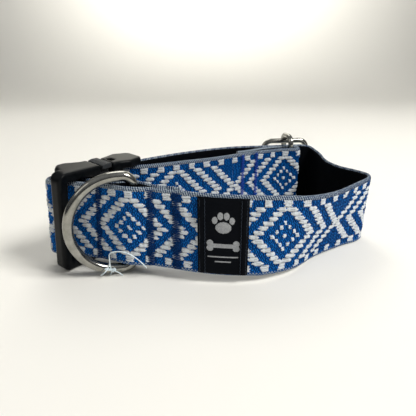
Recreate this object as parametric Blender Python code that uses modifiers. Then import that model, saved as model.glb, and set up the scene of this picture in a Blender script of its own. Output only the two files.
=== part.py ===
"""A flat dog collar with a side-release buckle, a D-ring, a sewn label and a wire slider, standing on its
edge. Metres, +Z up. Lengths in the constants are in millimetres; the strap runs round a plan drawn in X and Y."""

import math

import bpy
from mathutils import Matrix, Vector

MM = 0.001
STRAP_W = 38.0  # width of the webbing
FACE_IN, FACE_OUT = 0.15, 1.5  # patterned face, measured outwards from the seam plane of the strap
LINING_IN, LINING_OUT = -1.5, -0.15  # plain lining, inwards from the same plane
PLAN_SHIFT = (-4.97, -50.28)  # puts the middle of the whole collar over the origin
WEB_BAR_R = 2.2
FOLD_R = 4.0  # radius of the strap's seam plane where it folds round a web bar
BUCKLE_ANGLE = 55.9  # direction of the buckle in plan, from +X
BUCKLE_LEAN = 6.2  # degrees that the buckle, and the strap folded in it, lean in towards the neck
BUCKLE_AT = (-66.8, 11.0, 25.0)  # middle of the near bar
BUCKLE_HALF = 24.5  # half of the buckle's height across the strap
RAIL_INNER = 20.1  # half of the slots' height
SHELL_START, SHELL_END = 15.3, 27.0
SHELL_IN, SHELL_OUT = -4.5, 7.0
WEB_BAR_S, WEB_BAR_N = 7.3, 7.1
MALE_BAR_S, MALE_BAR_N = 44.2, 2.0
RING_WIRE = 4.6
RING_INNER = 40.2
RING_DEPTH = 28.5
RING_REST = 29.0  # angle of the ring off the strap at rest
RING_X = -34.7
SLIDER_WIRE = 3.3
SLIDER_HALF = 14.4
SLIDER_AT = (51.0, 94.0)
SLIDER_SLOPE = 0.1585
BAR_OFFSET = -6.75  # slider's centre bar, inwards from the outer run's seam plane
INNER_OFFSET = -10.2
CUT_X = 66.0  # where the front half of the strap meets the rear half
MATERIALS = {
    "webbing_blue": ((0.02, 0.10, 0.40), 0.0, 0.8),
    "lining_black": ((0.008, 0.01, 0.014), 0.0, 0.85),
    "plastic_black": ((0.02, 0.021, 0.024), 0.0, 0.38),
    "nickel": ((0.62, 0.60, 0.56), 1.0, 0.22),
    "label_black": ((0.01, 0.012, 0.016), 0.0, 0.6),
    "stitch_navy": ((0.01, 0.03, 0.16), 0.0, 0.6),
    "stitch_royal": ((0.03, 0.08, 0.45), 0.0, 0.6),
    "thread_white": ((0.8, 0.84, 0.88), 0.0, 0.5),
}

for old in list(bpy.data.objects):
    bpy.data.objects.remove(old, do_unlink=True)

PARTS = bpy.data.collections.new("flat_buckle_collar")
CUTTERS = bpy.data.collections.new("cutters")
bpy.context.scene.collection.children.link(PARTS)
bpy.context.scene.collection.children.link(CUTTERS)
CUTTERS.hide_render = True

SHADES = {}
for shade, (colour, metallic, roughness) in MATERIALS.items():
    made = bpy.data.materials.new(shade)
    made.use_nodes = True
    surface = made.node_tree.nodes["Principled BSDF"]
    surface.inputs["Base Color"].default_value = (*colour, 1.0)
    surface.inputs["Metallic"].default_value = metallic
    surface.inputs["Roughness"].default_value = roughness
    made.diffuse_color = (*colour, 1.0)
    SHADES[shade] = made


# ---------------------------------------------------------------- helpers
def add(name, data, shade, place=None, collection=PARTS):
    """An object from a mesh or a curve whose points are in millimetres of its own frame."""
    obj = bpy.data.objects.new(name, data)
    collection.objects.link(obj)
    if shade:
        data.materials.append(SHADES[shade])
    if place is not None:
        obj.matrix_world = place
    return obj


def mesh_of(name, points, faces):
    mesh = bpy.data.meshes.new(name)
    mesh.from_pydata([Vector(p) * MM for p in points], [], faces)
    mesh.update()
    return mesh


def placed(x, y, z, along, up):
    """Matrix with its origin at a plan point, its X along one direction and its Z near another."""
    along = along.normalized()
    out = up.cross(along).normalized()
    top = along.cross(out)
    spin = Matrix((along, out, top)).transposed().to_4x4()
    shift = Vector(((x + PLAN_SHIFT[0]) * MM, (y + PLAN_SHIFT[1]) * MM, z * MM))
    return Matrix.Translation(shift) @ spin


def prism(name, outline, low, high, shade=None, place=None, collection=PARTS):
    """An outline in the X-Y plane drawn up from low to high along Z."""
    count = len(outline)
    points = [(x, y, low) for x, y in outline] + [(x, y, high) for x, y in outline]
    sides = [(i, (i + 1) % count, (i + 1) % count + count, i + count) for i in range(count)]
    caps = [tuple(reversed(range(count))), tuple(range(count, 2 * count))]
    return add(name, mesh_of(name, points, sides + caps), shade, place, collection)


def block(name, low, high, shade=None, place=None, collection=CUTTERS):
    (x0, y0, z0), (x1, y1, z1) = low, high
    outline = [(x0, y0), (x1, y0), (x1, y1), (x0, y1)]
    made = prism(name, outline, z0, z1, shade, place, collection)
    if collection is CUTTERS:
        made.hide_render = True
        made.display_type = "WIRE"
    return made


def rod(name, x, y, radius, low, high, place, sides=20, collection=CUTTERS):
    outline = [
        (x + radius * math.cos(2 * math.pi * k / sides), y + radius * math.sin(2 * math.pi * k / sides))
        for k in range(sides)
    ]
    made = prism(name, outline, low, high, None, place, collection)
    made.hide_render = True
    made.display_type = "WIRE"
    return made


def boolean(obj, other, operation="DIFFERENCE"):
    step = obj.modifiers.new(other.name, "BOOLEAN")
    step.object = other
    step.operation = operation
    step.solver = "EXACT"


def rounded(obj, width, segments=2, angle=40.0):
    step = obj.modifiers.new("rounding", "BEVEL")
    step.width = width * MM
    step.segments = segments
    step.limit_method = "ANGLE"
    step.angle_limit = math.radians(angle)
    step.use_clamp_overlap = True


def wire(name, points, radius, shade, place, cyclic=False, resolution=2):
    """A round wire along points, as a curve with a bevel and filled ends."""
    curve = bpy.data.curves.new(name, "CURVE")
    curve.dimensions = "3D"
    curve.bevel_depth = radius * MM
    curve.bevel_resolution = resolution
    curve.use_fill_caps = True
    spline = curve.splines.new("POLY")
    spline.points.add(len(points) - 1)
    for point, at in zip(spline.points, points):
        point.co = (*(Vector(at) * MM), 1.0)
    spline.use_cyclic_u = cyclic
    return add(name, curve, shade, place)


# ---------------------------------------------------------------- the strap's path
BUCKLE_ALONG = Vector((math.cos(math.radians(BUCKLE_ANGLE)), math.sin(math.radians(BUCKLE_ANGLE)), 0.0))
BUCKLE_OUT = Vector((-BUCKLE_ALONG.y, BUCKLE_ALONG.x, 0.0))


def curved(knots, step):
    """Points on a smooth line through knots of any size, about one step apart."""
    line = []
    for i in range(len(knots) - 1):
        before = knots[max(i - 1, 0)]
        here, there = knots[i], knots[i + 1]
        after = knots[min(i + 2, len(knots) - 1)]
        length = math.dist(here[:2], there[:2])
        count = max(1, round(length / step))
        for k in range(count):
            t = k / count
            point = []
            for b, h, e, a in zip(before, here, there, after):
                m0, m1 = (e - b) / 2, (a - h) / 2
                cubic = (2 * t**3 - 3 * t**2 + 1) * h + (t**3 - 2 * t**2 + t) * m0
                point.append(cubic + (3 * t**2 - 2 * t**3) * e + (t**3 - t**2) * m1)
            line.append(tuple(point))
    line.append(tuple(knots[-1]))
    return line


def arc(centre, radius, start, end, count, z, share):
    """Points round a centre from one angle to another, in degrees."""
    angles = [math.radians(start + (end - start) * k / count) for k in range(count + 1)]
    return [
        (centre[0] + radius * math.cos(g), centre[1] + radius * math.sin(g), z, 0.0, share) for g in angles
    ]


def stations(line):
    """For each path point, the seam plane's middle, its outward normal, its upward edge and its direction.

    A point holds X, Y, the middle's height, an outward lean of the upper edge in degrees and the share of the
    buckle's own lean that the strap takes up there."""
    found = []
    for i, (x, y, z, lean, share) in enumerate(line):
        before, after = line[max(i - 1, 0)], line[min(i + 1, len(line) - 1)]
        along = Vector((after[0] - before[0], after[1] - before[1], 0)).normalized()
        out = Vector((along.y, -along.x, 0))
        tilt = out * math.tan(math.radians(lean)) - BUCKLE_OUT * share * math.tan(math.radians(BUCKLE_LEAN))
        up = (Vector((0, 0, 1)) + tilt).normalized()
        normal = along.cross(up).normalized()
        tucked = STRAP_W / 2 * math.sin(math.radians(lean)) if lean > 0 else 0.0
        middle = Vector((x + PLAN_SHIFT[0], y + PLAN_SHIFT[1], z)) - out * tucked
        found.append((middle, normal, up, along))
    return found


def ribbon(name, line, low, high, shade, width=STRAP_W, shift=0.0):
    """A band of webbing along a path, between two distances from the seam plane."""
    points, faces = [], []
    for middle, normal, up, _ in stations(line):
        seam = middle + normal * ((low + high) / 2) + up * shift
        points += [seam - up * (width / 2), seam + up * (width / 2)]
    for i in range(len(line) - 1):
        faces.append((2 * i, 2 * i + 2, 2 * i + 3, 2 * i + 1))
    obj = add(name, mesh_of(name, points, faces), shade)
    step = obj.modifiers.new("thickness", "SOLIDIFY")
    step.thickness = (high - low) * MM
    step.offset = 0.0
    step.use_even_offset = True
    return obj


def buckle_point(s, n):
    """Plan position of a point of the buckle, from its distance along it and outwards."""
    at = Vector(BUCKLE_AT) + BUCKLE_ALONG * s + BUCKLE_OUT * n
    return (at.x, at.y)


WEB_BAR = buckle_point(WEB_BAR_S, WEB_BAR_N)
MALE_BAR = buckle_point(MALE_BAR_S, MALE_BAR_N)

# Folded layer, from its sewn end back to the web bar, bulging round the ring's bar.
folded_knots = [
    (-12.0, 7.2, 23.9, 0.0, 0.1),
    (-18.0, 8.2, 24.3, 0.0, 0.2),
    (-24.5, 9.7, 24.6, 0.0, 0.35),
    (-28.5, 12.3, 24.8, 0.0, 0.4),
    (-33.4, 15.0, 25.0, 0.0, 0.5),
    (-38.5, 15.4, 25.0, 0.0, 0.6),
    (-44.0, 14.8, 25.0, 0.0, 0.8),
    (-51.0, 16.4, 25.0, 0.0, 0.9),
    (-58.0, 19.8, 25.0, 0.0, 1.0),
]
front_knots = [
    (-60.0, 14.9, 25.0, 0.0, 1.0),
    (-52.0, 12.4, 25.0, 0.0, 0.9),
    (-45.0, 10.2, 25.0, 0.0, 0.8),
    (-39.0, 7.4, 25.0, 0.0, 0.6),
    (-35.4, 6.1, 25.0, 0.0, 0.5),
    (-31.0, 5.6, 24.9, 0.0, 0.45),
    (-26.0, 5.9, 24.7, 0.0, 0.35),
    (-18.0, 4.8, 24.3, 0.0, 0.2),
    (-10.0, 3.0, 23.8, 0.0, 0.0),
    (5.0, 1.0, 23.0, 0.0, 0.0),
    (22.0, 1.3, 22.3, 0.0, 0.0),
    (35.0, 4.0, 21.4, 4.0, 0.0),
    (46.0, 8.0, 20.4, 9.0, 0.0),
    (60.0, 18.5, 19.4, 13.5, 0.0),
    (75.0, 33.0, 19.2, 9.5, 0.0),
    (84.0, 42.4, 19.15, 4.0, 0.0),
    (86.5, 50.2, 19.15, -1.0, 0.0),
    (84.2, 58.6, 19.2, -5.5, 0.0),
    (78.6, 68.0, 19.4, -8.0, 0.0),
    (74.0, 77.6, 20.5, -7.0, 0.0),
    (71.2, 87.6, 22.8, -3.0, 0.0),
    (66.6, 95.6, 25.4, 0.0, 0.0),
]
# The strap hangs loosely round the web bar, so its loop is wider than the bar and off it.
loose_fold = arc((WEB_BAR[0] - 1.6, WEB_BAR[1] + 0.3), 5.2, 64.0, 254.0, 12, 25.0, 1.0)
fold_line = curved(folded_knots, 2.2) + loose_fold
run_line = curved(front_knots, 3.2)
cut = next(i for i, p in enumerate(run_line) if p[0] >= CUT_X)
front_line = fold_line + run_line[: cut + 1]
bend_line = run_line[cut:]


def run_y(x):
    """The outer rear run's straight stretch, which the slider travels along."""
    return SLIDER_AT[1] + (x - SLIDER_AT[0]) * SLIDER_SLOPE


outer_knots = [
    (60.0, run_y(60.0), 26.4, 0.0, 0.0),
    (40.0, run_y(40.0), 26.4, 0.0, 0.0),
    (20.0, run_y(20.0), 26.4, 0.0, 0.0),
    (9.0, 86.0, 26.2, 0.0, 0.0),
    (-3.0, 81.2, 25.9, 0.0, 0.1),
    (-17.0, 74.3, 25.5, 0.0, 0.4),
    (-27.0, 68.0, 25.3, 0.0, 0.7),
    (-34.0, 62.4, 25.3, 0.0, 0.9),
    (-41.0, 56.3, 25.3, 0.0, 1.0),
]
inner_knots = [
    (-36.0, 45.6, 25.3, 0.0, 1.0),
    (-27.0, 48.0, 25.4, 0.0, 0.8),
    (-17.0, 52.0, 25.5, 0.0, 0.4),
    (0.0, 59.4, 25.6, 0.0, 0.1),
    (14.0, 66.5, 26.0, 0.0, 0.0),
    (24.0, 72.2, 26.3, 0.0, 0.0),
    (34.0, 77.4, 26.4, 0.0, 0.0),
]

slider_along = Vector((1.0, SLIDER_SLOPE, 0.0)).normalized()
slider_out = Vector((-slider_along.y, slider_along.x, 0.0))


def slider_point(t, offset, z=26.4):
    """Plan position from a distance along the outer run and outwards from it."""
    at = Vector((*SLIDER_AT, 0)) + slider_along * t + slider_out * offset
    return (at.x, at.y, z, 0.0, 0.0)


male_fold = arc(MALE_BAR, FOLD_R, 128.0, 274.0, 10, 25.3, 1.0)
rear_line = bend_line[:-1] + curved([front_knots[-1]] + outer_knots, 4.0) + male_fold + curved(inner_knots[:3], 3.0)
middle_line = curved(inner_knots[2:5], 3.5)
turn_angle = math.degrees(math.atan(SLIDER_SLOPE))
turn = slider_point(1.3, BAR_OFFSET)
tail_turn = arc(turn, BAR_OFFSET - INNER_OFFSET, turn_angle - 90.0, turn_angle + 90.0, 10, 26.4, 0.0)
tail_in = curved(inner_knots[4:] + [slider_point(-8.0, INNER_OFFSET), slider_point(0.0, INNER_OFFSET)], 3.2)
tail_back = curved([slider_point(t, 2 * BAR_OFFSET - INNER_OFFSET) for t in (-1.0, -5.0, -10.0)], 3.5)
tail_end = [(33.2, 84.3), (26.5, 78.6), (17.5, 73.2)]
tail_end = [(x, y, 26.4, 0.0, 0.0) for x, y in tail_end]
tail_line = tail_in + tail_turn + tail_back + curved(tail_end, 3.5)


def trimmed(line, start=0.0, end=0.0):
    """The path with its ends moved in, so that two bands don't touch."""
    line = list(line)
    for side, gap in ((0, start), (-1, end)):
        if gap:
            here, near = line[side], line[1 if side == 0 else -2]
            share = gap / math.dist(here[:2], near[:2])
            line[side] = tuple(h + (n - h) * share for h, n in zip(here, near))
    return line


def band(kind, line):
    ribbon("strap_face_" + kind, line, FACE_IN, FACE_OUT, "webbing_blue")
    ribbon("strap_lining_" + kind, line, LINING_IN, LINING_OUT, "lining_black")


band("front", trimmed(front_line, end=0.3))
band("rear", trimmed(rear_line, end=0.3))
band("middle", trimmed(middle_line, end=0.3))
band("tail", tail_line)


# ---------------------------------------------------------------- stitch rows and label
def on_path(line, x):
    """The first place on a path's front stretch at a given X, between two of its points."""
    for one, two in zip(line, line[1:]):
        if one[0] <= x <= two[0]:
            share = (x - one[0]) / max(two[0] - one[0], 1e-9)
            return tuple(p + (q - p) * share for p, q in zip(one, two))
    return line[-1]


def frame_on(line, x):
    near = [on_path(line, x - 0.8), on_path(line, x), on_path(line, x + 0.8)]
    return stations(near)[1]


def stitch_row(name, line, x, shade, wide=1.1):
    """One zigzag of sewing thread across the strap, on its outer face."""
    middle, normal, up, along = frame_on(line, x)
    points = []
    count = 16
    for k in range(count + 1):
        height = -STRAP_W / 2 + 1.4 + (STRAP_W - 2.8) * k / count
        side = wide * (1 if k % 2 else -1)
        points.append(middle + normal * (FACE_OUT + 0.55) + up * height + along * side)
    wire(name, points, 0.32, shade, None, resolution=1)


for k, x in enumerate((-49.5, -25.2, -13.6)):
    stitch_row(f"stitch_front_{k + 1}", run_line, x, "stitch_navy")
for k, x in enumerate((20.0, 28.5)):
    stitch_row(f"stitch_tail_{k + 1}", tail_in, x, "stitch_royal")

label_line = [p for p in run_line if -3.0 < p[0] < 17.0]
label_line = [on_path(run_line, -3.4)] + label_line + [on_path(run_line, 17.4)]
LABEL_H = 35.4
label = ribbon("label", label_line, 1.8, 2.2, "label_black", LABEL_H, -1.4)
for side, (x0, x1) in {"left": (-3.2, -0.9), "right": (15.0, 17.2)}.items():
    hem = [on_path(run_line, x0), on_path(run_line, (x0 + x1) / 2), on_path(run_line, x1)]
    ribbon("label_hem_" + side, hem, 2.45, 2.8, "label_black", LABEL_H - 0.6, -1.4)

# ---------------------------------------------------------------- side-release buckle
tilt = math.radians(BUCKLE_LEAN)
buckle_up = Vector((0, 0, 1)) * math.cos(tilt) - BUCKLE_OUT * math.sin(tilt)
buckle = placed(*BUCKLE_AT, BUCKLE_ALONG, buckle_up)

female_outline = [
    (-3.1, -4.2), (1.4, -4.2), (7.0, -4.4), (15.0, SHELL_IN), (SHELL_END, SHELL_IN),
    (SHELL_END, SHELL_OUT), (16.0, SHELL_OUT), (12.5, 8.4), (9.6, 9.8), (5.2, 9.6),
    (2.4, 6.4), (1.4, 2.6), (-3.1, 2.6),
]
female = prism("buckle_female", female_outline, -BUCKLE_HALF, BUCKLE_HALF, "plastic_black", buckle)
rounded(female, 1.3)
slot = block("cut_slot", (1.4, -30, -RAIL_INNER), (SHELL_START, 30, RAIL_INNER), place=buckle)
boolean(female, slot)
boolean(female, rod("join_web_bar", WEB_BAR_S, WEB_BAR_N, WEB_BAR_R, -21.5, 21.5, buckle), "UNION")
hollow = block("cut_hollow", (17.2, -2.7, -21.0), (40, 5.2, 21.0), place=buckle)
boolean(female, hollow)
for side in (-1, 1):
    low, high = sorted((side * 19.3, side * 40))
    boolean(female, block(f"cut_notch_{side + 1}", (19.5, -20, low), (40, 20, high), place=buckle))

male_arm = [
    (27.4, -4.2), (32.0, -4.4), (37.5, -6.4), (45.6, -5.0), (48.4, -2.2), (48.4, 3.4),
    (45.2, 6.4), (38.0, 8.8), (33.4, 7.6), (27.4, 6.4),
]
male = prism("buckle_male", male_arm, -24.0, 24.0, "plastic_black", buckle)
rounded(male, 1.2)
boolean(male, block("cut_male_slot", (33.6, -30, -RAIL_INNER), (80, 30, RAIL_INNER), place=buckle))
boolean(male, rod("join_male_bar", MALE_BAR_S, MALE_BAR_N, WEB_BAR_R, -21.5, 21.5, buckle), "UNION")
guide = block("join_guide", (17.6, -0.6, -6.0), (29.0, 3.0, 6.0), place=buckle)
boolean(male, guide, "UNION")
for side in (-1, 1):
    low, high = sorted((side * 21.4, side * 40))
    boolean(male, block(f"cut_hole_{side + 1}", (29.4, -0.6, low), (32.2, 3.2, high), place=buckle))
    low, high = sorted((side * 13.4, side * 20.4))
    boolean(male, block(f"cut_root_{side + 1}", (20, -2.6, low), (30.4, 5.1, high), place=buckle))

HINGE_S, HINGE_Z = 29.3, 16.0
for side, name in ((1, "prong_upper"), (-1, "prong_lower")):
    root = buckle @ Matrix.Translation(Vector((HINGE_S, 1.25, side * HINGE_Z)) * MM)
    profile = [
        (0.7, -1.6), (0.7, 1.6), (-2.0, 2.2), (-2.7, 3.2), (-2.7, 8.4), (-6.0, 8.5),
        (-8.3, 7.9), (-8.3, 4.6), (-10.4, 3.6), (-10.4, 0.2), (-8.2, -1.6),
    ]
    # The prong's side outline, turned so that its thickness runs across the buckle.
    turned = root @ Matrix.Rotation(math.radians(90.0 * 1), 4, "X")
    outline = [(x, z * side) for x, z in profile]
    outline = outline[::-1] if side > 0 else outline
    prong = prism(name, outline, -3.4, 3.4, "plastic_black", turned)
    rounded(prong, 0.5, 1)
    cap = [(-8.3, 6.0), (-8.3, 7.9), (-6.0, 8.5), (-2.7, 8.4), (-2.7, 6.0)]
    cap = [(x, z * side) for x, z in cap]
    cap = cap if side < 0 else cap[::-1]
    pad = prism("join_pad_" + name, cap, -5.4, 5.4, None, turned, CUTTERS)
    pad.hide_render = True
    pad.display_type = "WIRE"
    boolean(prong, pad, "UNION")

# ---------------------------------------------------------------- D-ring, turned towards the buckle
middle, normal, up, along = frame_on(run_line, RING_X)
ring_axis = middle - normal * (1.5 + 0.95 + RING_WIRE / 2) + up * 0.3
half = (RING_INNER + RING_WIRE) / 2
corner, depth = 5.0, RING_DEPTH
ring_points = [(0.0, -half + corner + k * (half - corner) / 2) for k in range(5)]
ring_points += [
    (corner - corner * math.cos(a), half - corner + corner * math.sin(a))
    for a in (math.radians(22.5 * k) for k in range(1, 5))
]
straight = 7.0
ring_points += [
    (straight + (depth - straight) * math.sin(a), half * math.cos(a))
    for a in (math.radians(180.0 * k / 24) for k in range(0, 25))
]
ring_points += [
    (corner - corner * math.cos(a), -half + corner - corner * math.sin(a))
    for a in (math.radians(22.5 * k) for k in range(4, 0, -1))
]
lie = math.radians(RING_REST)
ring_dir = -along * math.cos(lie) + normal * math.sin(lie)
side_dir = up.cross(ring_dir).normalized()
ring_place = Matrix.Translation(ring_axis * MM) @ Matrix((ring_dir, side_dir, up)).transposed().to_4x4()
ring = wire("d_ring", [(t, 0, h) for t, h in ring_points], RING_WIRE / 2, "nickel", ring_place, True, 3)

# ---------------------------------------------------------------- tag thread on the ring
tie_angle = math.radians(167.0)
tie = Vector((straight + (depth - straight) * math.sin(tie_angle), 0, half * math.cos(tie_angle)))
wrap = RING_WIRE / 2 + 0.8
run = Vector((-(depth - straight) * math.cos(tie_angle), 0, half * math.sin(tie_angle))).normalized()
rise = Vector((run.z, 0, -run.x)) * -1.0
front = Vector((0, 1, 0))
thread = [tie + run * 3.8 + front * 2.6 - rise * 2.6, tie + run * 2.4 + front * 4.2 + rise * 0.2]
for k in range(9):
    a = math.radians(50 + 36 * k)
    thread.append(tie + run * (0.8 - 0.2 * k) + front * wrap * math.cos(a) + rise * wrap * math.sin(a))
thread = [ring_place @ (point * MM) / MM for point in thread]
for x, off, height in ((-41.5, 6.6, -13.2), (-38.5, 6.4, -11.0), (-34.5, 5.6, -11.6), (-30.5, 4.6, -15.0), (-27.5, 3.6, -19.2)):
    middle, normal, up, along = frame_on(run_line, x)
    thread.append(middle + normal * off + up * height)
wire("tag_thread", thread, 0.3, "thread_white", None, resolution=1)

# ---------------------------------------------------------------- wire slider
slider_place = placed(*SLIDER_AT, 26.4, slider_along, Vector((0, 0, 1)))
wire_r = SLIDER_WIRE / 2
rail_offset = 1.5 + 0.4 + wire_r
tall, long, bend = STRAP_W / 2 + 0.5 + wire_r, SLIDER_HALF, 5.0
frame_points = []
for cx, cz, start in ((1, 1, 0), (-1, 1, 90), (-1, -1, 180), (1, -1, 270)):
    for k in range(5):
        a = math.radians(start + 22.5 * k)
        spot = (cx * (long - bend) + bend * math.cos(a), cz * (tall - bend) + bend * math.sin(a))
        frame_points.append((spot[0], rail_offset, spot[1]))
wire("slider_frame", frame_points, wire_r, "nickel", slider_place, True)
hook = SLIDER_WIRE + 0.3
top = [(BAR_OFFSET, 0.0), (BAR_OFFSET, tall - 2.0)]
for k in range(5):
    a = math.radians(180 - 22.5 * k)
    top.append((BAR_OFFSET + 5.0 + 5.0 * math.cos(a), tall - 1.4 + 5.0 * math.sin(a)))
for k in range(7):
    a = math.radians(90 - 25.0 * k)
    top.append((rail_offset + hook * math.cos(a), tall + hook * math.sin(a)))
bar_points = [(0, n, -z) for n, z in reversed(top)] + [(0, n, z) for n, z in top[1:]]
wire("slider_bar", bar_points, wire_r, "nickel", slider_place)
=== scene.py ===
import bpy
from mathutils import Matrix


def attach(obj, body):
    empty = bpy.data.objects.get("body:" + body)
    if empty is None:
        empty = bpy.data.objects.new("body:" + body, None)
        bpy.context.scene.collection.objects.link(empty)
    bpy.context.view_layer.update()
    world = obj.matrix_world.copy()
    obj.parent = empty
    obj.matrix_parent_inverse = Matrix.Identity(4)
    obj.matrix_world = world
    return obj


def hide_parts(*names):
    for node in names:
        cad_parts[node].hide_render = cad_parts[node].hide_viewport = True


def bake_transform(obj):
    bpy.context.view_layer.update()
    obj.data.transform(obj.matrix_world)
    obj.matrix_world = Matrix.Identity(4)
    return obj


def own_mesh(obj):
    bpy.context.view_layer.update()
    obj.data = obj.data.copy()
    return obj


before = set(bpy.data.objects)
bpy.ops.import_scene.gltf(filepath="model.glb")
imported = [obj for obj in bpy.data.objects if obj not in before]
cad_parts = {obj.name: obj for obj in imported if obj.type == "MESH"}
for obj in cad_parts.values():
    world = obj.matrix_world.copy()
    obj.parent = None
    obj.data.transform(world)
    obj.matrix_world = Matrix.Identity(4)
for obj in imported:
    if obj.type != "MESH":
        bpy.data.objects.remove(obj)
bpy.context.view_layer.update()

import math
from collections import namedtuple

import bmesh
import bpy
import numpy as np
from mathutils import Matrix, Vector

MM = 0.001

# ---------------------------------------------------------------- strap's plan, as in the CAD, in millimetres
STRAP_W = 38.0
PLAN_SHIFT = (-4.97, -50.28)
FOLD_R = 4.0  # the strap's turn round the male half's bar
BUCKLE_ANGLE, BUCKLE_LEAN = 55.9, 6.2
BUCKLE_AT = (-66.8, 11.0, 25.0)
WEB_BAR_S, WEB_BAR_N, MALE_BAR_S, MALE_BAR_N = 7.3, 7.1, 44.2, 2.0
RING_WIRE, RING_INNER, RING_DEPTH, RING_REST, RING_X = 4.6, 40.2, 28.5, 29.0, -34.7
SLIDER_WIRE, SLIDER_HALF = 3.3, 14.4
SLIDER_AT, SLIDER_SLOPE = (51.0, 94.0), 0.1585
BAR_OFFSET, INNER_OFFSET = -6.75, -10.2
BUCKLE_ALONG = Vector((math.cos(math.radians(BUCKLE_ANGLE)), math.sin(math.radians(BUCKLE_ANGLE)), 0.0))
BUCKLE_OUT = Vector((-BUCKLE_ALONG.y, BUCKLE_ALONG.x, 0.0))


def curved(knots, step):
    """Points on a smooth line through knots of any size, about one step apart."""
    line = []
    for i in range(len(knots) - 1):
        before = knots[max(i - 1, 0)]
        here, there = knots[i], knots[i + 1]
        after = knots[min(i + 2, len(knots) - 1)]
        count = max(1, round(math.dist(here[:2], there[:2]) / step))
        for k in range(count):
            t = k / count
            point = []
            for b, h, e, a in zip(before, here, there, after):
                m0, m1 = (e - b) / 2, (a - h) / 2
                cubic = (2 * t**3 - 3 * t**2 + 1) * h + (t**3 - 2 * t**2 + t) * m0
                point.append(cubic + (3 * t**2 - 2 * t**3) * e + (t**3 - t**2) * m1)
            line.append(tuple(point))
    line.append(tuple(knots[-1]))
    return line


def arc(centre, radius, start, end, count, z, share):
    """Points of the same kind as the knots, on a turn in plan between two angles in degrees."""
    angles = [math.radians(start + (end - start) * k / count) for k in range(count + 1)]
    return [
        (centre[0] + radius * math.cos(g), centre[1] + radius * math.sin(g), z, 0.0, share) for g in angles
    ]


def buckle_point(s, n):
    at = Vector(BUCKLE_AT) + BUCKLE_ALONG * s + BUCKLE_OUT * n
    return (at.x, at.y)


def run_y(x):
    return SLIDER_AT[1] + (x - SLIDER_AT[0]) * SLIDER_SLOPE


slider_along = Vector((1.0, SLIDER_SLOPE, 0.0)).normalized()
slider_out = Vector((-slider_along.y, slider_along.x, 0.0))


def slider_point(t, offset, z=26.4):
    at = Vector((*SLIDER_AT, 0)) + slider_along * t + slider_out * offset
    return (at.x, at.y, z, 0.0, 0.0)


WEB_BAR = buckle_point(WEB_BAR_S, WEB_BAR_N)
MALE_BAR = buckle_point(MALE_BAR_S, MALE_BAR_N)
folded_knots = [
    (-12.0, 7.2, 23.9, 0.0, 0.1), (-18.0, 8.2, 24.3, 0.0, 0.2), (-24.5, 9.7, 24.6, 0.0, 0.35),
    (-28.5, 12.3, 24.8, 0.0, 0.4), (-33.4, 15.0, 25.0, 0.0, 0.5), (-38.5, 15.4, 25.0, 0.0, 0.6),
    (-44.0, 14.8, 25.0, 0.0, 0.8), (-51.0, 16.4, 25.0, 0.0, 0.9), (-58.0, 19.8, 25.0, 0.0, 1.0),
]
front_knots = [
    (-60.0, 14.9, 25.0, 0.0, 1.0), (-52.0, 12.4, 25.0, 0.0, 0.9), (-45.0, 10.2, 25.0, 0.0, 0.8),
    (-39.0, 7.4, 25.0, 0.0, 0.6), (-35.4, 6.1, 25.0, 0.0, 0.5), (-31.0, 5.6, 24.9, 0.0, 0.45),
    (-26.0, 5.9, 24.7, 0.0, 0.35), (-18.0, 4.8, 24.3, 0.0, 0.2), (-10.0, 3.0, 23.8, 0.0, 0.0),
    (5.0, 1.0, 23.0, 0.0, 0.0), (22.0, 1.3, 22.3, 0.0, 0.0), (35.0, 4.0, 21.4, 4.0, 0.0),
    (46.0, 8.0, 20.4, 9.0, 0.0), (60.0, 18.5, 19.4, 13.5, 0.0), (75.0, 33.0, 19.2, 9.5, 0.0),
    (84.0, 42.4, 19.15, 4.0, 0.0), (86.5, 50.2, 19.15, -1.0, 0.0), (84.2, 58.6, 19.2, -5.5, 0.0),
    (78.6, 68.0, 19.4, -8.0, 0.0), (74.0, 77.6, 20.5, -7.0, 0.0), (71.2, 87.6, 22.8, -3.0, 0.0),
    (66.6, 95.6, 25.4, 0.0, 0.0),
]
outer_knots = [
    (60.0, run_y(60.0), 26.4, 0.0, 0.0), (40.0, run_y(40.0), 26.4, 0.0, 0.0),
    (20.0, run_y(20.0), 26.4, 0.0, 0.0), (9.0, 86.0, 26.2, 0.0, 0.0), (-3.0, 81.2, 25.9, 0.0, 0.1),
    (-17.0, 74.3, 25.5, 0.0, 0.4), (-27.0, 68.0, 25.3, 0.0, 0.7), (-34.0, 62.4, 25.3, 0.0, 0.9),
    (-41.0, 56.3, 25.3, 0.0, 1.0),
]
inner_knots = [
    (-36.0, 45.6, 25.3, 0.0, 1.0), (-27.0, 48.0, 25.4, 0.0, 0.8), (-17.0, 52.0, 25.5, 0.0, 0.4),
    (0.0, 59.4, 25.6, 0.0, 0.1), (14.0, 66.5, 26.0, 0.0, 0.0), (24.0, 72.2, 26.3, 0.0, 0.0),
    (34.0, 77.4, 26.4, 0.0, 0.0),
]
FINE = 0.9
turn_angle = math.degrees(math.atan(SLIDER_SLOPE))
turn = slider_point(1.3, BAR_OFFSET)
loose_fold = arc((WEB_BAR[0] - 1.6, WEB_BAR[1] + 0.3), 5.2, 64.0, 254.0, 24, 25.0, 1.0)
run_line = curved(front_knots, FINE)
main_line = (
    curved(folded_knots, FINE) + loose_fold + run_line[:-1]
    + curved([front_knots[-1]] + outer_knots, FINE) + arc(MALE_BAR, FOLD_R, 128.0, 274.0, 20, 25.3, 1.0)
    + curved(inner_knots[:3], FINE)
)
middle_line = curved(inner_knots[2:5], FINE)
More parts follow.
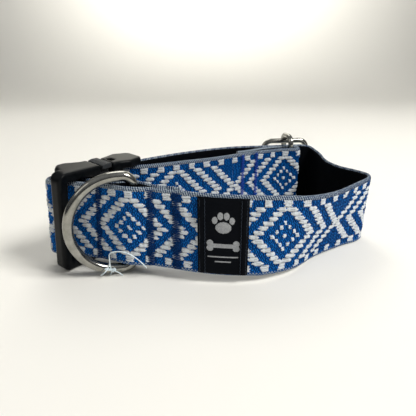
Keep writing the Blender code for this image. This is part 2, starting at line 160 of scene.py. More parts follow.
tail_line = (
    curved(inner_knots[4:] + [slider_point(-8.0, INNER_OFFSET), slider_point(0.0, INNER_OFFSET)], FINE)
    + arc(turn, BAR_OFFSET - INNER_OFFSET, turn_angle - 90.0, turn_angle + 90.0, 20, 26.4, 0.0)
    + curved([slider_point(t, 2 * BAR_OFFSET - INNER_OFFSET) for t in (-1.0, -5.0, -10.0)], FINE)
    + curved([(x, y, 26.4, 0.0, 0.0) for x, y in ((33.2, 84.3), (26.5, 78.6), (17.5, 73.2))], FINE)
)


class Path:
    """A strap path sampled by its length: the seam plane's middle, outward normal and upward edge."""

    def __init__(self, line):
        line = np.array(line, float)
        apart = np.linalg.norm(np.diff(line[:, :2], axis=0), axis=1)
        line = line[np.r_[True, apart > 1e-6]]
        self.plan = line[:, :2]
        self.s = np.r_[0.0, np.cumsum(np.linalg.norm(np.diff(line[:, :2], axis=0), axis=1))]
        self.length = float(self.s[-1])
        along = np.gradient(line[:, :2], self.s, axis=0)
        for _ in range(2):
            along[1:-1] = (along[:-2] + 2 * along[1:-1] + along[2:]) / 4
        along /= np.linalg.norm(along, axis=1)[:, None]
        self.along = np.c_[along, np.zeros(len(along))]
        out = np.c_[along[:, 1], -along[:, 0], np.zeros(len(along))]
        lean = np.radians(line[:, 3])
        buckle = np.array(BUCKLE_OUT) * math.tan(math.radians(BUCKLE_LEAN))
        up = np.array([0, 0, 1.0]) + out * np.tan(lean)[:, None] - buckle * line[:, 4:5]
        self.up = up / np.linalg.norm(up, axis=1)[:, None]
        self.normal = np.cross(self.along, self.up)
        self.normal /= np.linalg.norm(self.normal, axis=1)[:, None]
        tucked = STRAP_W / 2 * np.sin(np.maximum(lean, 0.0))
        middle = np.c_[line[:, :2] + np.array(PLAN_SHIFT), line[:, 2]]
        self.middle = middle - out * tucked[:, None]

    def at_x(self, x, after=0.0):
        """The length at which the plan's X is reached, past a given length."""
        reach = np.nonzero((self.s[:-1] >= after) & (self.plan[:-1, 0] <= x) & (self.plan[1:, 0] >= x))[0]
        i = int(reach[0])
        x0, x1 = self.plan[i, 0], self.plan[i + 1, 0]
        return float(self.s[i] + (self.s[i + 1] - self.s[i]) * (x - x0) / max(x1 - x0, 1e-9))

    def pick(self, rows, s):
        """One of the path's own vectors, at lengths s."""
        return np.stack([np.interp(s, self.s, rows[:, k]) for k in range(3)], axis=-1)

    def place(self, s, v, h):
        """World points in metres for lengths s, heights across the strap v and distances outwards h."""
        s, v, h = np.broadcast_arrays(np.asarray(s, float), np.asarray(v, float), np.asarray(h, float))
        middle, up, normal = (self.pick(a, s) for a in (self.middle, self.up, self.normal))
        return (middle + up * v[..., None] + normal * h[..., None]) * MM


MAIN, MIDDLE, TAIL = Path(main_line), Path(middle_line), Path(tail_line)
FOLD_END = Path(curved(folded_knots, FINE) + loose_fold).length
INNER_START = Path(main_line[: -len(curved(inner_knots[:3], FINE))]).length


# ---------------------------------------------------------------- materials
def shader(name, colour, roughness, metallic=0.0, sheen=0.0):
    mat = bpy.data.materials.new(name)
    mat.use_nodes = True
    bsdf = mat.node_tree.nodes["Principled BSDF"]
    bsdf.inputs["Base Color"].default_value = (*colour, 1)
    bsdf.inputs["Roughness"].default_value = roughness
    bsdf.inputs["Metallic"].default_value = metallic
    bsdf.inputs["Sheen Weight"].default_value = sheen
    bsdf.inputs["Sheen Tint"].default_value = (1, 1, 1, 1)
    return mat, mat.node_tree, bsdf


def node(tree, kind, **values):
    """A shader node with some of its inputs set."""
    made = tree.nodes.new(kind)
    for key, value in values.items():
        made.inputs[key].default_value = value
    return made


def ramp_between(tree, low, high, dark, light):
    """A colour ramp from dark to light, between two values."""
    ramp = node(tree, "ShaderNodeValToRGB")
    for stop, position, colour in zip(ramp.color_ramp.elements, (low, high), (dark, light)):
        stop.position = position
        stop.color = (*colour, 1)
    return ramp


def mottled(name, dark, light, roughness, scale, stretch=(1, 1, 1), bump=0.5, bump_size=0.0001, **more):
    """A surface whose colour drifts between two shades, with a fine bump."""
    mat, tree, bsdf = shader(name, light, roughness, **more)
    place = node(tree, "ShaderNodeTexCoord")
    stretched = node(tree, "ShaderNodeMapping", Scale=stretch)
    noise = node(tree, "ShaderNodeTexNoise", Scale=scale, Detail=3.0, Roughness=0.6)
    ramp = ramp_between(tree, 0.32, 0.68, dark, light)
    raised = node(tree, "ShaderNodeBump", Strength=bump, Distance=bump_size)
    tree.links.new(place.outputs["Object"], stretched.inputs["Vector"])
    tree.links.new(stretched.outputs["Vector"], noise.inputs["Vector"])
    tree.links.new(noise.outputs["Fac"], ramp.inputs["Fac"])
    tree.links.new(ramp.outputs["Color"], bsdf.inputs["Base Color"])
    tree.links.new(noise.outputs["Fac"], raised.inputs["Height"])
    tree.links.new(raised.outputs["Normal"], bsdf.inputs["Normal"])
    return mat


def finish(mats, key, value):
    for mat in mats:
        mat.node_tree.nodes["Principled BSDF"].inputs[key].default_value = value


EVEN, SHORT_GRAIN = (1, 1, 1), (1, 1, 3)
WHITE = mottled("yarn_white", (0.50, 0.535, 0.56), (0.72, 0.76, 0.79), 0.75, 2600, SHORT_GRAIN, sheen=0.1)
# painted shade: a shaded copy of the white yarn, put in the grooves between rows of floats and in the dips
# between strands
WHITE_PAINTED_SHADE = mottled("yarn_white_shaded", (0.26, 0.28, 0.31), (0.46, 0.48, 0.50), 0.8, 2600, SHORT_GRAIN)
# painted highlight: a lit copy of the blue yarn, put on the tops of the knobs
BLUE_HIGHLIGHT = mottled("yarn_blue_painted_highlight", (0.001, 0.10, 0.42), (0.008, 0.185, 0.62), 0.6, 1500)
BLUE = mottled("yarn_blue", (0.001, 0.038, 0.165), (0.002, 0.072, 0.27), 0.65, 1500)
# painted shade: a shaded copy of the blue yarn, put in the gaps between the knobs' columns and between the
# loops on the upper edge
BLUE_SHADE = mottled("yarn_blue_painted_shade", (0.0005, 0.009, 0.04), (0.001, 0.025, 0.10), 0.7, 1500)
EDGE = mottled("yarn_pale_edge", (0.17, 0.22, 0.26), (0.40, 0.45, 0.49), 0.75, 1800)
LINING_SHADES = (0.0006, 0.001, 0.0016), (0.0022, 0.0034, 0.005)
BLACK = mottled("lining_black", *LINING_SHADES, 0.85, 1600, (1, 1, 2), 0.6, 0.0002)
NAVY = mottled("stitch_navy", (0.002, 0.018, 0.085), (0.006, 0.042, 0.16), 0.55, 1500, EVEN, 0.3)
ROYAL = mottled("stitch_royal", (0.012, 0.04, 0.26), (0.03, 0.085, 0.46), 0.5, 1500, EVEN, 0.3)
SATIN = mottled("label_black", (0.0006, 0.0012, 0.0024), (0.0022, 0.0032, 0.006), 0.5, 900, (1, 1, 9))
# the hem stitching's own dark thread, lightened into a painted highlight along the hem edges
HEM_THREAD_AND_SHEEN = mottled("label_stitching_and_sheen", (0.016, 0.021, 0.03), (0.04, 0.05, 0.068), 0.5, 900, EVEN, 0.3)
PRINT = mottled("label_grey", (0.24, 0.25, 0.26), (0.38, 0.39, 0.405), 0.6, 1500, EVEN, 0.3)
THREAD = mottled("thread_white", (0.60, 0.72, 0.77), (0.82, 0.90, 0.93), 0.4, 1500, EVEN, 0.2)
PLASTIC_SHADES = (0.0012, 0.0018, 0.0026), (0.0036, 0.0044, 0.0054)
PLASTIC = mottled("plastic_black", *PLASTIC_SHADES, 0.3, 500, EVEN, 0.12)
GRAIN_SHADES = (0.02, 0.022, 0.024), (0.046, 0.049, 0.053)
GRAINED = mottled("plastic_grained", *GRAIN_SHADES, 0.5, 3200, EVEN, 0.9, 0.00025)
NICKEL_SHADES = (0.24, 0.237, 0.215), (0.38, 0.375, 0.345)
NICKEL = mottled("nickel", *NICKEL_SHADES, 0.15, 260, EVEN, 0.04, 0.00005, metallic=1.0)
YARNS = (WHITE, WHITE_PAINTED_SHADE, BLUE_HIGHLIGHT, BLUE, BLUE_SHADE, EDGE, BLACK, NAVY, ROYAL, SATIN, HEM_THREAD_AND_SHEEN, PRINT)
finish(YARNS, "Specular IOR Level", 0.05)
finish((PLASTIC, GRAINED), "Specular IOR Level", 0.4)
finish((PLASTIC, GRAINED), "IOR", 1.22)


# ---------------------------------------------------------------- adding objects
def add_object(name, data):
    obj = bpy.data.objects.new(name, data)
    bpy.context.scene.collection.objects.link(obj)
    return obj


def add_mesh(name, points, faces, mats, index=None):
    """A mesh of points in metres, smooth but for its end caps; index gives each face's material."""
    mesh = bpy.data.meshes.new(name)
    mesh.from_pydata(points, [], faces)
    for mat in mats:
        mesh.materials.append(mat)
    if index is not None:
        mesh.polygons.foreach_set("material_index", index)
    mesh.polygons.foreach_set("use_smooth", [len(face) == 4 for face in faces])
    mesh.update()
    return add_object(name, mesh)


# ---------------------------------------------------------------- webbing relief, in millimetres
PITCH = 2.15  # one float of the pattern, along and across
MOTIF = 34  # floats from one diamond's middle to the next
ROWS = 6  # rows of floats on each side of the middle one
STRIPES = (7.1, 11.9, 16.7)  # the outlines round each diamond, in floats from its middle
DOTS = {(0, 0), (3, 0), (2, 1), (1, 2), (0, 3)}  # small floats in the middle: floats along, and rows
FLOAT_REACH = 1.04  # about half the width of an outline, in floats
BLOCK_STEP = 4.25  # floats from one block to the next along both edges
GROUND_V = (ROWS + 0.5) * PITCH  # above this comes the row of blocks, and above that the selvedge
BLOCK_V = GROUND_V + 3.2
# of these, the shaded white is painted shade on the floats, and the bright and deep blues are a painted
# highlight on the knob tops and painted shade in the gaps
FACE = [WHITE, WHITE_PAINTED_SHADE, BLUE_HIGHLIGHT, BLUE, BLUE_SHADE, EDGE]
TOP, SHADED, LIT_KNOB, FLANK, SHADED_GAP, LOOP = range(len(FACE))


def wave(turns):
    return np.cos(2 * np.pi * turns)


def pattern(u, v):
    """True where a white float lies on top, for points along and across the strap."""
    row = np.clip(np.round(v / PITCH), -ROWS, ROWS)
    off = v / PITCH - row
    along = np.abs((u / PITCH + off * 0.22 + MOTIF / 2) % MOTIF - MOTIF / 2)
    step = along + np.abs(row)
    reach = FLOAT_REACH - (np.abs(off) * 0.9 - 0.2)
    white = np.zeros(u.shape, bool)
    for stripe in STRIPES:
        white |= np.abs(step - stripe) < reach
    white &= ~((np.abs(row) < 1) & (along < 5.2))
    for a, b in DOTS:
        white |= (np.abs(along - a) < 0.37) & (np.abs(row) == b) & (np.abs(off) < 0.34)
    block = np.abs((u / PITCH + BLOCK_STEP / 2) % BLOCK_STEP - BLOCK_STEP / 2) < 0.86
    return np.where(np.abs(v) > GROUND_V, block & (np.abs(v) < BLOCK_V), white)


def hashed(a, b):
    """A repeatable number from 0 to 1 for each pair of whole numbers."""
    return np.modf(np.abs(np.sin(a * 127.1 + b * 311.7) * 43758.5453))[0]


def floats(u, v, white):
    """Each float is a bundle of three strands that rises from its ends: height, place in the row, strand."""
    soft = white.astype(float)
    for _ in range(2):
        soft[1:-1] = (soft[:-2] + soft[1:-1] * 2 + soft[2:]) / 4
    block_row = ((np.abs(v) - GROUND_V) / 1.6) % 1.0 - 0.5
    row = np.where(np.abs(v) > GROUND_V, block_row, v / PITCH - np.round(v / PITCH))
    strand = wave(row * 3.0 + u * 0.10)
    crown = np.sqrt(np.clip(1 - (2 * row) ** 2 * 0.96, 0, 1))
    return 1.0 + 0.5 * crown * np.minimum(1, soft * 1.3) + 0.06 * strand, row, strand


def knobs(u, v):
    """The blue ground's columns of knobs: the column's swell, how far each knob stands up, its own number."""
    half, tall = PITCH / 2, PITCH * 0.75
    column = u / half + 0.28 * np.sin(2 * np.pi * v / PITCH)
    swell = 0.5 + 0.5 * wave(column)
    lift = 0.5 + 0.5 * wave(v / tall + np.round(column) / 2)
    own = hashed(np.round(column), np.round(v / tall))
    return swell, swell * (0.35 + 0.65 * lift), own


def selvedge(u, v):
    """Slanting loops over the edge, pale above and blue with white flecks below: height and material."""
    across = np.clip((np.abs(v) - BLOCK_V) / (STRAP_W / 2 - BLOCK_V), 0, 1)
    loop = 0.5 + 0.5 * wave(u / 1.08 + across * 0.8 * np.sign(v))
    fleck = (wave(u / 1.6 + np.round(across * 3) / 2) > 0.25) & (across > 0.15)
    # above, the gaps between the pale loops are painted shade in deep blue
    upper, lower = np.where(loop > 0.5, LOOP, SHADED_GAP), np.where(fleck, LOOP, FLANK)
    return 1.12 + 0.2 * loop - 0.75 * across**3, np.where(v > 0, upper, lower)


def jacquard(u, v):
    """Height above the seam plane and material number of the patterned face."""
    loose = 0.30 * (hashed(np.round(u / 4.3), np.round(v / PITCH)) - 0.5)
    drift = 0.16 * np.sin(u * 0.9 + v * 0.33) + 0.12 * np.sin(u * 2.3 - v * 0.7) + loose
    ragged = 0.75 * (hashed(np.round(u / 5.1) + 7, np.round(v * 3 / PITCH)) - 0.5)
    white = pattern(u + drift + ragged, v)
    raised, row, strand = floats(u, v, white)
    swell, knob, own = knobs(u, v)
    height = np.where(white, raised, 0.86 + 0.42 * knob + 0.1 * (own - 0.5))
    # painted shade: white cells at the edges of each row and in the strand dips take the shaded white
    shaded = (np.abs(row) > 0.42) | ((strand < -0.55) & (own < 0.75))
    # painted light on the blue ground: standing knobs take the painted-highlight blue, the gaps between
    # columns the painted-shade blue
    blue = np.where(knob > 0.52 + 0.35 * (own - 0.5), LIT_KNOB, np.where(swell < 0.30, SHADED_GAP, FLANK))
    mat = np.where(white, np.where(shaded, SHADED, TOP), blue)
    edge = np.abs(v) > BLOCK_V
    edge_height, edge_mat = selvedge(u, v)
    return np.where(edge, edge_height, height), np.where(edge, edge_mat, mat).astype(int)


def ribbed(u, v):
    """The plain lining: ribs across, with a low herringbone."""
    herring = np.abs((v / 2.4) % 2 - 1)
    rib = 0.5 + 0.5 * wave(u / 0.95 + herring * 0.9)
    fuzz = 0.05 * hashed(np.round(u / 0.5), np.round(v / 0.5))
    across = np.clip((np.abs(v) - 17.0) / 1.2, 0, 1)
    return 1.28 + 0.14 * rib + fuzz - 0.7 * across**3, np.zeros(u.shape, int)


# ---------------------------------------------------------------- strap
# side is 1 for the layer outside the seam plane and -1 for the one inside it
# back is how far its plain back lies from that plane, towards its own outer face
Layer = namedtuple("Layer", "name cad relief mats slot side cell back width")
WEBBING = Layer("webbing", "strap_face_", jacquard, FACE, "webbing_blue", 1, 0.36, -0.35, STRAP_W)
LINING = Layer("lining", "strap_lining_", ribbed, [BLACK], "lining_black", -1, 0.5, 0.15, STRAP_W - 1.6)


def band(layer, part, path, s0, s1, pattern_u, dent=None):
    """A length of one layer as a closed band: a detailed outer face, and a plain back on its neighbour."""
    count = max(2, int(round((s1 - s0) / layer.cell)) + 1)
    tall = int(round(layer.width / layer.cell)) + 1
    s = np.linspace(s0, s1, count)
    v = np.linspace(-layer.width / 2, layer.width / 2, tall)
    S, V = np.meshgrid(s, v, indexing="ij")
    height, mat = layer.relief(pattern_u(S), V)
    if dent is not None:
        height = height - dent(S)
    back_v = layer.width / 2 - 0.15
    back_S, back_V = np.meshgrid(s, [back_v, -back_v], indexing="ij")
    front = path.place(S, V, layer.side * height)
    back = path.place(back_S, back_V, layer.side * layer.back)
    points = np.concatenate([front, back], axis=1)
    ring = tall + 2
    i = np.arange(count - 1)[:, None]
    j = np.arange(ring)[None, :]
    a, b = i * ring + j, i * ring + (j + 1) % ring
    quads = np.stack([a, b, b + ring, a + ring], axis=-1).reshape(-1, 4)
    caps = [list(range(ring)), list(range((count - 1) * ring, count * ring))]
    caps[0 if layer.side < 0 else 1].reverse()
    index = np.zeros((count - 1, ring), int)
    index[:, : tall - 1] = mat[:-1, :-1]
    index[:, tall - 1 :] = mat[:-1, -1][:, None]
    faces = quads[:, :: -layer.side].tolist() + caps
    index = np.r_[index.reshape(-1), 0, 0].astype(np.int32)
    obj = add_mesh(f"{layer.name}_{part}", points.reshape(-1, 3).tolist(), faces, layer.mats, index)
    return obj


def dents(rows):
    """How far stitch rows, each a length and a width, pull the webbing in."""
    return lambda s: sum(0.34 * np.exp(-(((s - at) / wide) ** 2)) for at, wide in rows)


PERIOD = MOTIF * PITCH
FRONT_PHASE = MAIN.at_x(-34.8, FOLD_END)  # a diamond's middle, beside the ring
NEXT_PHASE, HALF_PHASE = MAIN.at_x(33.7, FOLD_END), MAIN.at_x(66.0, FOLD_END)
BEND_START, BEND_END = MAIN.at_x(35.0, FOLD_END), MAIN.at_x(84.0, FOLD_END)
INNER_U = 0.6 * PITCH  # the middle run starts just past a diamond's middle
BEND_U = 1.5 * PERIOD + 0.93 * (BEND_END - HALF_PHASE)
inner_length = MAIN.length - INNER_START
periods = round((INNER_START - BEND_END + BEND_U + inner_length - INNER_U) / PERIOD)
end_u = periods * PERIOD + INNER_U
PATTERN_S = [0.0, FRONT_PHASE, NEXT_PHASE, HALF_PHASE, BEND_END, INNER_START, MAIN.length]
PATTERN_U = [-1.05 * FRONT_PHASE, 0.0, PERIOD, 1.5 * PERIOD, BEND_U, end_u - inner_length, end_u]


def main_u(s):
    """Length along the pattern: the strap is a little pulled or packed, and ends on a whole motif."""
    return np.interp(s, PATTERN_S, PATTERN_U)


def middle_u(s):
    return s + INNER_U


def tail_u(s):
    return s + INNER_U + MIDDLE.length


STITCH_FRONT = [(MAIN.at_x(x, FOLD_END), wide) for x, wide in ((-49.5, 1.5), (-25.2, 1.9), (-13.6, 2.2))]
STITCH_TAIL = [(TAIL.at_x(20.0), 1.6), (TAIL.at_x(28.5), 1.6)]
DENTED = (WEBBING, dents(STITCH_FRONT), dents(STITCH_TAIL))
for layer, front_dent, tail_dent in (DENTED, (LINING, None, None)):
    cad = layer.cad
    front = band(layer, "front", MAIN, 0.0, BEND_START, main_u, front_dent)
    bend = band(layer, "bend", MAIN, BEND_START, BEND_END, main_u)
    rear = band(layer, "rear", MAIN, BEND_END, MAIN.length, main_u)
    middle = band(layer, "middle", MIDDLE, 0.0, MIDDLE.length, middle_u)
    tail = band(layer, "tail", TAIL, 0.0, TAIL.length, tail_u, tail_dent)
    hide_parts(cad + "front")
    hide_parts(cad + "rear")
    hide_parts(cad + "middle")
    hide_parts(cad + "tail")
    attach(front, "front_half")
    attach(rear, "rear_half")
    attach(tail, "slider")
    ends = [tuple(MAIN.place(s, 0.0, 0.0).tolist()) for s in (BEND_START, BEND_END)]
    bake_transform(bend)
    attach(middle, "rear_half")
    fixed = tuple(MIDDLE.place(0.0, 0.0, 0.0).tolist())
    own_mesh(middle)


# ---------------------------------------------------------------- stitch rows
def curve_piece(name, points, radius, mat, body):
    """A thin thread through points, with pointed turns."""
    curve = bpy.data.curves.new(name, "CURVE")
    curve.dimensions = "3D"
    curve.bevel_depth = radius * MM
    curve.bevel_resolution = 1
    curve.use_fill_caps = True
    spline = curve.splines.new("POLY")
    spline.points.add(len(points) - 1)
    for p, q in zip(spline.points, points):
        p.co = (*q, 1)
    curve.materials.append(mat)
    obj = add_object(name, curve)
    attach(obj, body)
    return obj


def stitch_row(row, path, at, half_wide, pitch, mat, body, seed):
    """A dense zigzag sewn across the strap: each thread lies on the webbing and dips in at its ends."""
    rng = np.random.default_rng(seed)
    points = []
    for k in range(int((STRAP_W - 1.2) / pitch)):
        v = -STRAP_W / 2 + 0.6 + pitch * k
        side = half_wide * (1 if k % 2 else -1) * (1 + 0.12 * rng.standard_normal())
        for share, lift in ((1.0, 0.95), (0.55, 1.32), (-0.1, 1.4), (-0.6, 1.3)):
            height = lift + 0.05 * rng.standard_normal()
            points.append((at + side * share, v + pitch * (1 - share) / 2, height))
    s, v, h = np.array(points).T
    obj = curve_piece(f"stitches_{row}", path.place(s, v, h).tolist(), 0.15, mat, body)
    cad = f"stitch_{row}"
    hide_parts(cad)


for k, (at, wide) in enumerate(STITCH_FRONT):
    stitch_row(f"front_{k + 1}", MAIN, at, wide * 1.08, 0.42, NAVY, "front_half", 3 + k)
for k, (at, wide) in enumerate(STITCH_TAIL):
    stitch_row(f"tail_{k + 1}", TAIL, at, 1.5, 0.5, ROYAL, "slider", 6 + k)


# ---------------------------------------------------------------- label
LABEL_L, LABEL_R = MAIN.at_x(-4.3, FOLD_END), MAIN.at_x(17.4, FOLD_END)
LABEL_MID = (LABEL_L + LABEL_R) / 2
LABEL_H, LABEL_V = 35.8, -0.1
LABEL_BACK, LABEL_FACE = 1.62, 2.05  # heights above the seam plane
SEAMS = ((7.6, 0.06), (9.9, -0.12))  # stitch lines on each side: distance from the middle, and lift
TOES = ((-3.6, 1.6, 1.15, 1.6), (-1.3, 3.6, 1.2, 1.7), (1.3, 3.6, 1.2, 1.7), (3.6, 1.6, 1.15, 1.6))


def paw(x, y):
    pad = ((x / 3.3) ** 2 + ((y + 1.6) / 2.6) ** 2) < 1
    for cx, cy, rx, ry in TOES:
        pad |= (((x - cx) / rx) ** 2 + ((y - cy) / ry) ** 2) < 1
    return pad


def bone(x, y):
    shape = (np.abs(x) < 5.4) & (np.abs(y) < 0.95)
    for cx in (-5.6, 5.6):
        for cy in (-1.15, 1.15):
            shape |= ((x - cx) ** 2 + (y - cy) ** 2) < 1.45**2
    return shape


def label_relief(u, v):
    """The woven label, from its own middle: hems turned under, and a printed paw, bone and two dashes."""
    hem = np.exp(-(((np.abs(u) - 9.0) / 1.3) ** 4)) * (0.34 + 0.08 * np.sin(v * 0.9 + 2 * np.sign(u)))
    groove = 0.16 * np.exp(-(((np.abs(u) - 8.0) / 0.35) ** 2))
    twill = 0.03 * wave(v / 0.7 + u / 3.0)
    side_droop = 0.5 * np.clip((np.abs(u) - 9.8) / 0.9, 0, 1) ** 2
    end_droop = 0.25 * np.clip((np.abs(v) - 17.3) / 0.6, 0, 1) ** 2
    rolling = 0.12 * np.sin(v * 0.35 + u * 0.2)
    printed = paw(u, v - 6.2) | bone(u, v + 4.0)
    printed |= (np.abs(v + 9.3) < 0.32) & (np.abs(u) < 6.6)
    printed |= (np.abs(v + 11.6) < 0.22) & (np.abs(u) < 3.4)
    height = LABEL_FACE + hem - groove + twill - side_droop - end_droop + rolling
    return height + np.where(printed, 0.04, 0.0), printed.astype(np.int32)


def label_band():
    cell = 0.19
    count, tall = int((LABEL_R - LABEL_L) / cell), int(LABEL_H / cell)
    s = np.linspace(LABEL_L, LABEL_R, count)
    v = np.linspace(-LABEL_H / 2, LABEL_H / 2, tall)
    S, V = np.meshgrid(s, v, indexing="ij")
    height, printed = label_relief(S - LABEL_MID, V)
    front = MAIN.place(S, V + LABEL_V, height)
    back = MAIN.place(S, V + LABEL_V, LABEL_BACK)
    grid = np.arange(count * tall).reshape(count, tall)
    quads = np.stack([grid[:-1, :-1], grid[1:, :-1], grid[1:, 1:], grid[:-1, 1:]], axis=-1).reshape(-1, 4)
    far = quads[:, ::-1] + count * tall
    rim = np.r_[grid[:, 0], grid[-1, 1:], grid[::-1, -1][1:], grid[0, ::-1][1:-1]]
    after = np.roll(rim, -1)
    side = np.stack([rim, rim + count * tall, after + count * tall, after], axis=-1)
    faces = np.concatenate([quads, far, side])
    index = np.zeros(len(faces), np.int32)
    index[: len(quads)] = printed[:-1, :-1].reshape(-1)
    points = np.concatenate([front.reshape(-1, 3), back.reshape(-1, 3)])
    return add_mesh("label_woven", points.tolist(), faces.tolist(), [SATIN, PRINT], index)


def label_seam(side, column, raised):
    """A line of short stitches down one hem."""
    k = np.arange(150)
    s = LABEL_MID + side * column + 0.12 * np.sin(k * 0.8)
    v = -LABEL_H / 2 + 0.7 + (LABEL_H - 1.4) * k / 149 + LABEL_V
    lift = 2.3 + 0.16 * np.abs(np.sin(np.pi * k / 6)) + raised
    points = MAIN.place(s, v, lift).tolist()
    curve_piece(f"label_seam_{side + 1}_{column:.0f}", points, 0.13, HEM_THREAD_AND_SHEEN, "front_half")


label = label_band()
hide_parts("label", "label_hem_left", "label_hem_right")
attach(label, "front_half")
for side in (-1, 1):
    for column, raised in SEAMS:
        label_seam(side, column, raised)


# ---------------------------------------------------------------- buckle: its CAD shapes, with softened edges
buckle_tilt = math.radians(BUCKLE_LEAN)
buckle_up = Vector((0, 0, 1)) * math.cos(buckle_tilt) - BUCKLE_OUT * math.sin(buckle_tilt)
buckle_side = buckle_up.cross(BUCKLE_ALONG).normalized()
buckle_seat = Matrix((BUCKLE_ALONG, buckle_side, buckle_up)).transposed().to_4x4()
buckle_seat.translation = (Vector(BUCKLE_AT) + Vector((*PLAN_SHIFT, 0))) * MM


def envelope(name, s0, s1, half, low_r, high_r):
    """A block round a buckle half, that trims its corners to a radius at each end."""
    bm = bmesh.new()
    outline = []
    corners = [(s1, half, 0, high_r), (s0, half, 90, low_r)]
    corners += [(s0, -half, 180, low_r), (s1, -half, 270, high_r)]
    for s, h, start, r in corners:
        centre_s = s - math.copysign(r, s - (s0 + s1) / 2)
        centre_h = h - math.copysign(r, h)
        for k in range(13):
            a = math.radians(start + 7.5 * k)
            outline.append((centre_s + r * math.cos(a), centre_h + r * math.sin(a)))
    low = [bm.verts.new(buckle_seat @ (Vector((s, -40, h)) * MM)) for s, h in outline]
    high = [bm.verts.new(buckle_seat @ (Vector((s, 40, h)) * MM)) for s, h in outline]
    count = len(outline)
    for k in range(count):
        bm.faces.new((low[k], low[(k + 1) % count], high[(k + 1) % count], high[k]))
    bm.faces.new(low[::-1])
    bm.faces.new(high)
    bmesh.ops.recalc_face_normals(bm, faces=bm.faces)
    mesh = bpy.data.meshes.new(name)
    bm.to_mesh(mesh)
    bm.free()
    return add_object(name, mesh)


def moulded(cad, name, mat, body, voxel, passes, trim=None):
    """The CAD solid with every edge softened, as it comes out of a mould."""
    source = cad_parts[cad]
    mesh = source.data.copy()
    mesh.transform(source.matrix_world)
    obj = add_object(name, mesh)
    if trim is not None:
        cut = obj.modifiers.new("round_ends", "BOOLEAN")
        cut.operation, cut.solver, cut.object = "INTERSECT", "EXACT", trim
    even = obj.modifiers.new("even_skin", "REMESH")
    even.mode, even.voxel_size, even.use_smooth_shade = "VOXEL", voxel * MM, True
    soft = obj.modifiers.new("soft_edges", "SMOOTH")
    soft.factor, soft.iterations = 0.5, passes
    skin = bpy.data.meshes.new_from_object(obj.evaluated_get(bpy.context.evaluated_depsgraph_get()))
    obj.modifiers.clear()
    skin.materials.clear()
    skin.materials.append(mat)
    obj.data = skin
    skin.polygons.foreach_set("use_smooth", np.ones(len(skin.polygons), bool))
    if trim is not None:
        bpy.data.objects.remove(trim, do_unlink=True)
    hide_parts(cad)
    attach(obj, body)


female_block = envelope("trim_female", -3.1, 80.0, 24.5, 4.5, 0.5)
moulded("buckle_female", "buckle_female_moulded", PLASTIC, "front_half", 0.42, 9, female_block)
male_block = envelope("trim_male", -60.0, 48.4, 24.1, 3.5, 3.5)
moulded("buckle_male", "buckle_male_moulded", PLASTIC, "rear_half", 0.42, 8, male_block)
moulded("prong_upper", "prong_upper_grained", GRAINED, "prong_top", 0.3, 5)
moulded("prong_lower", "prong_lower_grained", GRAINED, "prong_bottom", 0.3, 5)


# ---------------------------------------------------------------- wires
def tube(name, points, radius, mat, sides=24, closed=False):
    """A round wire through points, smooth along and round."""
    points = np.array(points, float)
    ahead = np.roll(points, -1, axis=0) - points
    behind = points - np.roll(points, 1, axis=0)
    if not closed:
        ahead[-1], behind[0] = behind[-1], ahead[0]
    tangent = ahead / np.linalg.norm(ahead, axis=1)[:, None]
    tangent += behind / np.linalg.norm(behind, axis=1)[:, None]
    tangent /= np.linalg.norm(tangent, axis=1)[:, None]
    side = np.cross(tangent[0], [0.3, 0.9, 0.2])
    sides_at = []
    for t in tangent:
        side = side - t * np.dot(side, t)
        side /= np.linalg.norm(side)
        sides_at.append(side.copy())
    one = np.array(sides_at)
    two = np.cross(tangent, one)
    angle = np.linspace(0, 2 * np.pi, sides, endpoint=False)[None, :, None]
    rings = points[:, None] + radius * MM * (one[:, None] * np.cos(angle) + two[:, None] * np.sin(angle))
    n = len(points)
    # a closed wire's last ring joins the first where their points are nearest
    twist = int(np.argmin(np.linalg.norm(rings[0] - rings[-1][0], axis=1)))
    faces = []
    for i in range(n if closed else n - 1):
        k = (i + 1) % n
        shift = twist if k == 0 else 0
        for j in range(sides):
            a, b = i * sides + j, i * sides + (j + 1) % sides
            faces.append((a, b, k * sides + (j + 1 + shift) % sides, k * sides + (j + shift) % sides))
    if not closed:
        faces += [tuple(reversed(range(sides))), tuple(range((n - 1) * sides, n * sides))]
    obj = add_mesh(name, rings.reshape(-1, 3).tolist(), faces, [mat])
    return obj


def swept(start, end, count):
    """Angles in radians between two given in degrees."""
    return np.radians(np.linspace(start, end, count))


# ---------------------------------------------------------------- D-ring
RING_HALF = (RING_INNER + RING_WIRE) / 2
RING_CORNER, RING_STRAIGHT = 5.0, 7.0
ring_s = MAIN.at_x(RING_X, FOLD_END)
middle, up, along = (Vector(MAIN.pick(rows, ring_s)) for rows in (MAIN.middle, MAIN.up, MAIN.along))
normal = along.cross(up).normalized()
ring_axis = middle - normal * (1.5 + 0.95 + RING_WIRE / 2) + up * 0.3
lie = math.radians(RING_REST)
ring_dir = -along * math.cos(lie) + normal * math.sin(lie)
ring_side = up.cross(ring_dir).normalized()


def bow(a):
    """Distance out and height of a point on the ring's round bow."""
    return RING_STRAIGHT + (RING_DEPTH - RING_STRAIGHT) * math.sin(a), RING_HALF * math.cos(a)


def ring_corner(a, side):
    """Distance out and height of a point on the round corner between the ring's bar and its bow."""
    out = RING_CORNER - RING_CORNER * math.cos(a)
    return out, side * (RING_HALF - RING_CORNER + RING_CORNER * math.sin(a))


bar_end = RING_HALF - RING_CORNER
ring_outline = [(0.0, h) for h in np.linspace(-bar_end, bar_end, 24)]
ring_outline += [ring_corner(a, 1) for a in swept(9, 90, 10)]
ring_outline += [bow(a) for a in swept(0, 180, 72)]
ring_outline += [ring_corner(a, -1) for a in swept(90, 9, 10)]
ring_world = [(ring_axis + ring_dir * out + up * h) * MM for out, h in ring_outline]
ring = tube("d_ring_wire", ring_world, RING_WIRE / 2, NICKEL, 28, True)
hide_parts("d_ring")
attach(ring, "ring")


